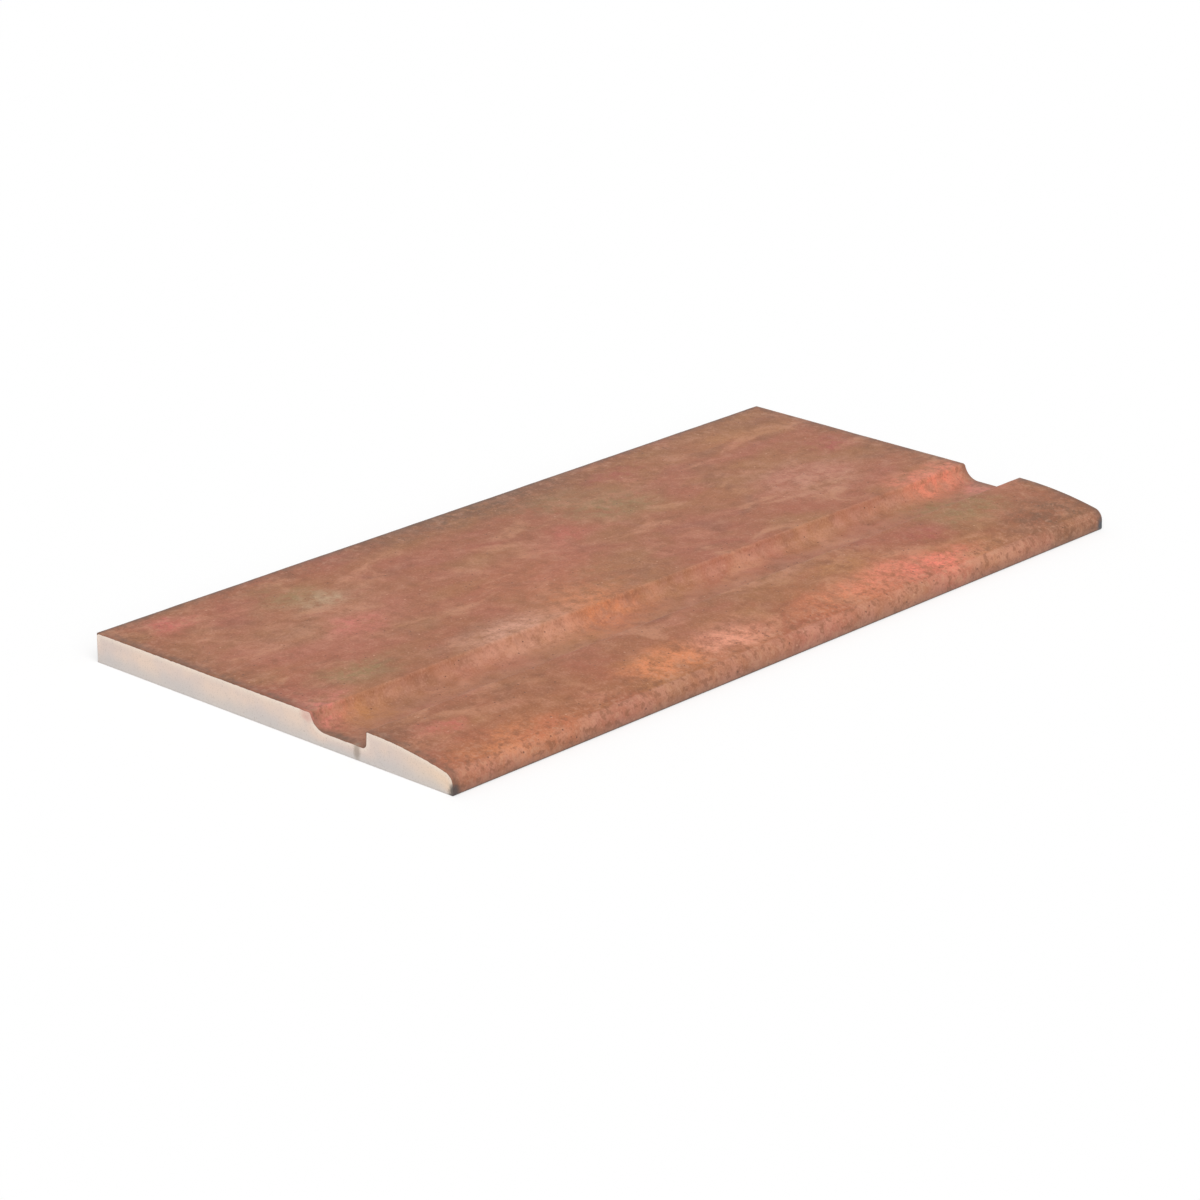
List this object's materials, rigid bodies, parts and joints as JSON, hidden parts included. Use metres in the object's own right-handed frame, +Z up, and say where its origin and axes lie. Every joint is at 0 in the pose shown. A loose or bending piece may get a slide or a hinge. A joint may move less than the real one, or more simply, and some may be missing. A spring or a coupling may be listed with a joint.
{
  "type": "pool coping tile",
  "caption": "Flat rectangular stoneware slab with a rounded finger groove along one side and a crowned nosing that curves down to the pool face.",
  "frame": {"origin": "centre of the tile's plan, on the plane of the back ribs that it lies on", "axes": "+X along the pool edge, -Y towards the water and the nosing, +Z up out of the glazed face"},
  "size_m": [0.626, 0.31, 0.0209],
  "materials": {
    "stoneware": "matt mottled terracotta glaze over the field, groove and nosing, with bare cream body at both ends and below"
  },
  "bodies": {
    "root": {"coping_tile": "stoneware"}
  },
  "joints": []
}
